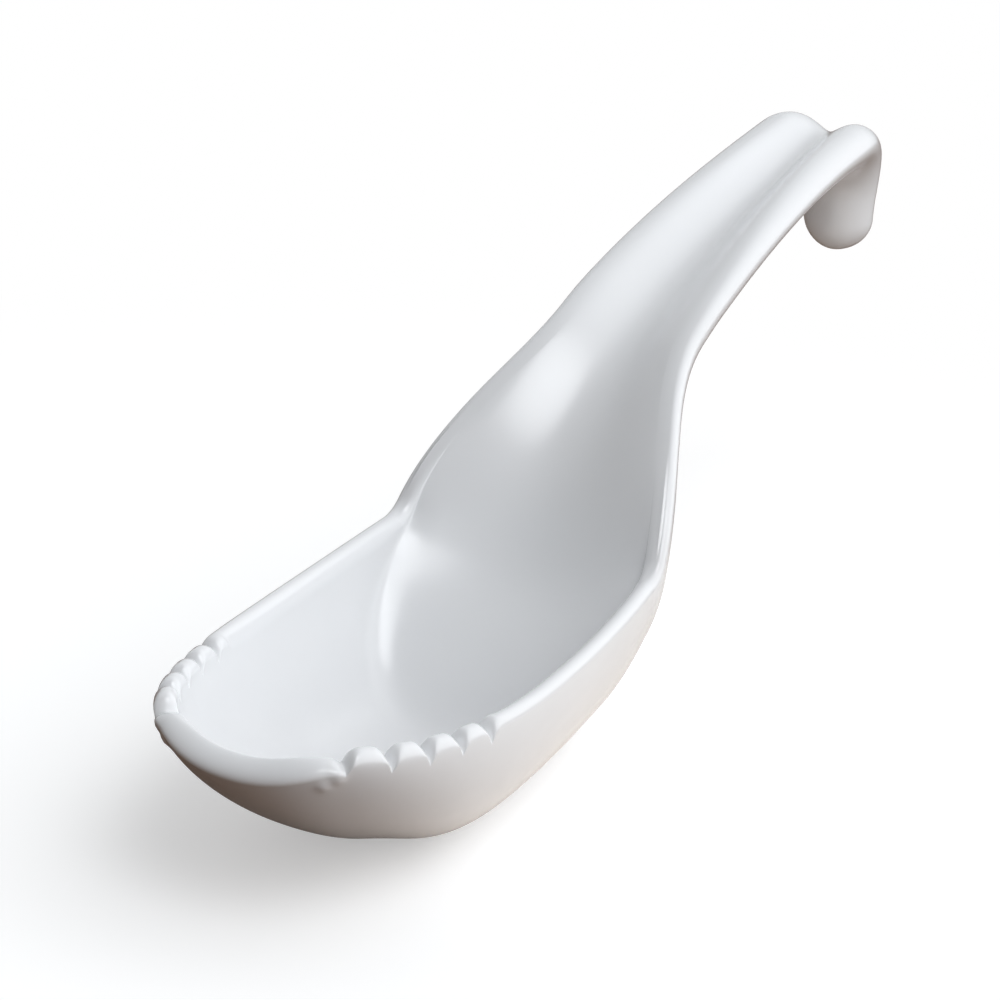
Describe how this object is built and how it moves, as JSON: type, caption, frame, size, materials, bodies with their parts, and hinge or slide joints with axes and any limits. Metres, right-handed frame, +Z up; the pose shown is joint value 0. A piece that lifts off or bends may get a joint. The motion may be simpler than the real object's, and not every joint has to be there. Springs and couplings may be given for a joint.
{
  "type": "noodle soup spoon",
  "caption": "White soup spoon with a deep boat-shaped bowl, toothed sides next to a smooth front lip, and a channelled swan-neck handle that ends in a hook.",
  "frame": {"origin": "middle of the foot's underside, where the spoon stands on the table", "axes": "+Z up; +X from the front lip towards the hooked end of the handle; +Y to the right of a holder who looks from the handle towards the front lip; both sides are alike about the XZ plane"},
  "size_m": [0.1796, 0.046, 0.0667],
  "materials": {
    "white_melamine": "gloss"
  },
  "bodies": {
    "root": {"bowl": "white_melamine", "left_teeth": "white_melamine", "right_teeth": "white_melamine", "handle": "white_melamine", "hook": "white_melamine", "foot": "white_melamine"}
  },
  "joints": []
}
